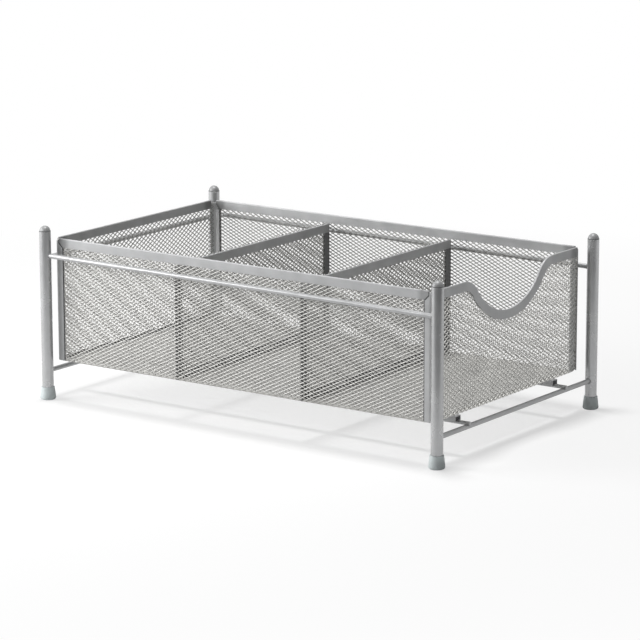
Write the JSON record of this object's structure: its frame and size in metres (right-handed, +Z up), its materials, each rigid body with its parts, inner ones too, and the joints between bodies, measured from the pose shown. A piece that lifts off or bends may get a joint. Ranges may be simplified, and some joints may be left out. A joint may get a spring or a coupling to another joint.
{
  "type": "desk organizer with drawer",
  "caption": "Low free-standing metal desk organizer: a post-and-rod frame carries a long expanded-mesh drawer on rails, with a scooped front and mesh dividers.",
  "frame": {"origin": "on the floor under the middle of the four posts", "axes": "+Z up, +Y from the drawer's scooped front to its rear, +X to the right seen from the front"},
  "size_m": [0.2992, 0.4922, 0.1806],
  "materials": {
    "frame_paint": "satin silver paint",
    "sheet_paint": "satin silver paint",
    "mesh_paint": "satin silver paint",
    "cap_grey": "satin silver-grey",
    "foot_grey": "matt grey",
    "glide_dark": "matt black"
  },
  "bodies": {
    "frame": {"post_front_left": "frame_paint", "post_cap_front_left": "cap_grey", "foot_front_left": "foot_grey", "post_front_right": "frame_paint", "post_cap_front_right": "cap_grey", "foot_front_right": "foot_grey", "post_rear_left": "frame_paint", "post_cap_rear_left": "cap_grey", "foot_rear_left": "foot_grey", "post_rear_right": "frame_paint", "post_cap_rear_right": "cap_grey", "foot_rear_right": "foot_grey", "upper_left_rod": "frame_paint", "upper_right_rod": "frame_paint", "upper_rear_rod": "frame_paint", "lower_front_rod": "frame_paint", "lower_rear_rod": "frame_paint", "slide_rail_left": "frame_paint", "slide_rail_right": "frame_paint"},
    "drawer": {"drawer_mesh_floor": "mesh_paint", "drawer_mesh_left": "mesh_paint", "drawer_mesh_right": "mesh_paint", "drawer_mesh_rear": "mesh_paint", "drawer_mesh_front": "mesh_paint", "rim_band_left": "sheet_paint", "rim_band_right": "sheet_paint", "rim_band_rear": "sheet_paint", "rim_band_front": "sheet_paint", "corner_strip_front_left": "sheet_paint", "corner_strip_front_right": "sheet_paint", "corner_strip_rear_left": "sheet_paint", "corner_strip_rear_right": "sheet_paint", "divider_front_mesh": "mesh_paint", "divider_front_top_band": "sheet_paint", "divider_front_left_strip": "sheet_paint", "divider_front_right_strip": "sheet_paint", "divider_rear_mesh": "mesh_paint", "divider_rear_top_band": "sheet_paint", "divider_rear_left_strip": "sheet_paint", "divider_rear_right_strip": "sheet_paint", "runner_left": "sheet_paint", "glide_left": "glide_dark", "runner_right": "sheet_paint", "glide_right": "glide_dark"}
  },
  "joints": [
    {"name": "drawer_slide", "type": "slide", "parent": "frame", "child": "drawer", "axis": [0, -1, 0], "range_m": [0, 0.23]}
  ]
}
